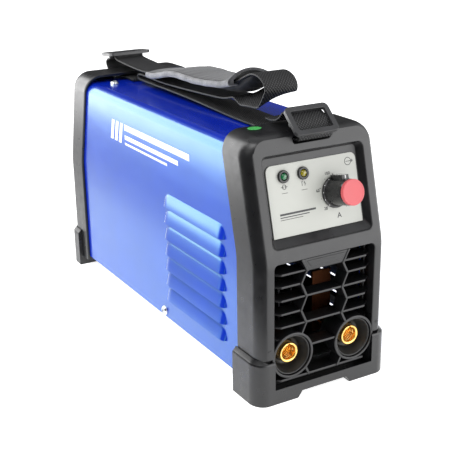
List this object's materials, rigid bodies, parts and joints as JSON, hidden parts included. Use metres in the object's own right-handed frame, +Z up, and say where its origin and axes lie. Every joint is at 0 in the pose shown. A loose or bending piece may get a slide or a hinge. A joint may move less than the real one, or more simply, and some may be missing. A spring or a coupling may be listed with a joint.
{
  "type": "stick welding inverter",
  "caption": "Portable stick welding inverter: sheet cover between leaning moulded ends, panel with current knob, socket grille, rear fan and folded carrying strap.",
  "frame": {"origin": "on the ground plane under the middle of the overall box", "axes": "+X across the front to the knob side, -Y the way the front faces, +Z up"},
  "size_m": [0.125, 0.385, 0.2406],
  "materials": {
    "black_plastic": "fine moulded texture, satin",
    "guard_plastic": "fine moulded texture, satin",
    "blue_paint": "gloss powder coat",
    "silver_plate": "matt printed plate",
    "knob_black": "satin",
    "cap_red": "satin",
    "led_green": "clear gloss",
    "led_yellow": "clear gloss",
    "holder_black": "gloss",
    "brass": "machined",
    "socket_black": "satin",
    "webbing": "woven polypropylene webbing",
    "pad_grey": "padded fabric",
    "buckle_plastic": "satin",
    "sticker_green": "printed label",
    "screw_steel": "bright zinc plate",
    "plain_steel": "galvanised sheet",
    "fan_plastic": "satin",
    "guard_wire": "bright plated",
    "rocker_black": "gloss",
    "aluminium": "extruded",
    "copper": null,
    "circuit_green": "solder resist",
    "ferrite": null,
    "capacitor_sleeve": "shrink sleeve",
    "epoxy_black": "epoxy",
    "relay_blue": "gloss"
  },
  "bodies": {
    "case": {"front_bezel": "black_plastic", "rear_bezel": "black_plastic", "front_grille": "black_plastic", "socket_surround": "black_plastic", "front_foot_guard": "guard_plastic", "rear_foot_guard": "guard_plastic", "cover": "blue_paint", "base_plate": "plain_steel", "cover_screw_top_left": "screw_steel", "cover_screw_top_right": "screw_steel", "cover_screw_side_left": "screw_steel", "cover_screw_side_right": "screw_steel", "control_plate": "silver_plate", "potentiometer": "plain_steel", "power_led_holder": "holder_black", "alarm_led_holder": "holder_black", "power_led": "led_green", "alarm_led": "led_yellow", "socket_body_left": "socket_black", "socket_body_right": "socket_black", "socket_contact_left": "brass", "socket_contact_right": "brass", "strap_webbing": "webbing", "shoulder_pad": "pad_grey", "front_buckle": "buckle_plastic", "rear_buckle": "buckle_plastic", "inspection_sticker": "sticker_green", "power_switch_housing": "black_plastic", "cable_gland": "black_plastic", "gland_nut": "black_plastic", "fan_frame": "fan_plastic", "fan_guard": "guard_wire", "heatsink_front": "aluminium", "heatsink_rear": "aluminium", "main_board": "circuit_green", "control_board": "circuit_green", "transformer_core": "ferrite", "transformer_winding": "copper", "output_inductor": "copper", "capacitor_front": "capacitor_sleeve", "capacitor_rear": "capacitor_sleeve", "rectifier_bridge": "epoxy_black", "power_relay": "relay_blue", "bus_bar_left": "copper", "bus_bar_right": "copper"},
    "knob": {"current_knob": "knob_black", "knob_cap": "cap_red"},
    "rocker": {"power_switch_rocker": "rocker_black"},
    "fan": {"fan_rotor": "fan_plastic"}
  },
  "joints": [
    {"name": "knob_turn", "type": "hinge", "parent": "case", "child": "knob", "pos_m": [0.0178, -0.16716, 0.15672], "axis": [0, -0.9701, 0.2425], "range_deg": [-140, 140]},
    {"name": "rocker_tip", "type": "hinge", "parent": "case", "child": "rocker", "pos_m": [-0.02, 0.17363, 0.16], "axis": [1, 0, 0], "range_deg": [0, 18]},
    {"name": "fan_spin", "type": "hinge", "parent": "case", "child": "fan", "pos_m": [0, 0.1705, 0.062], "axis": [0, 1, 0], "continuous": true}
  ]
}
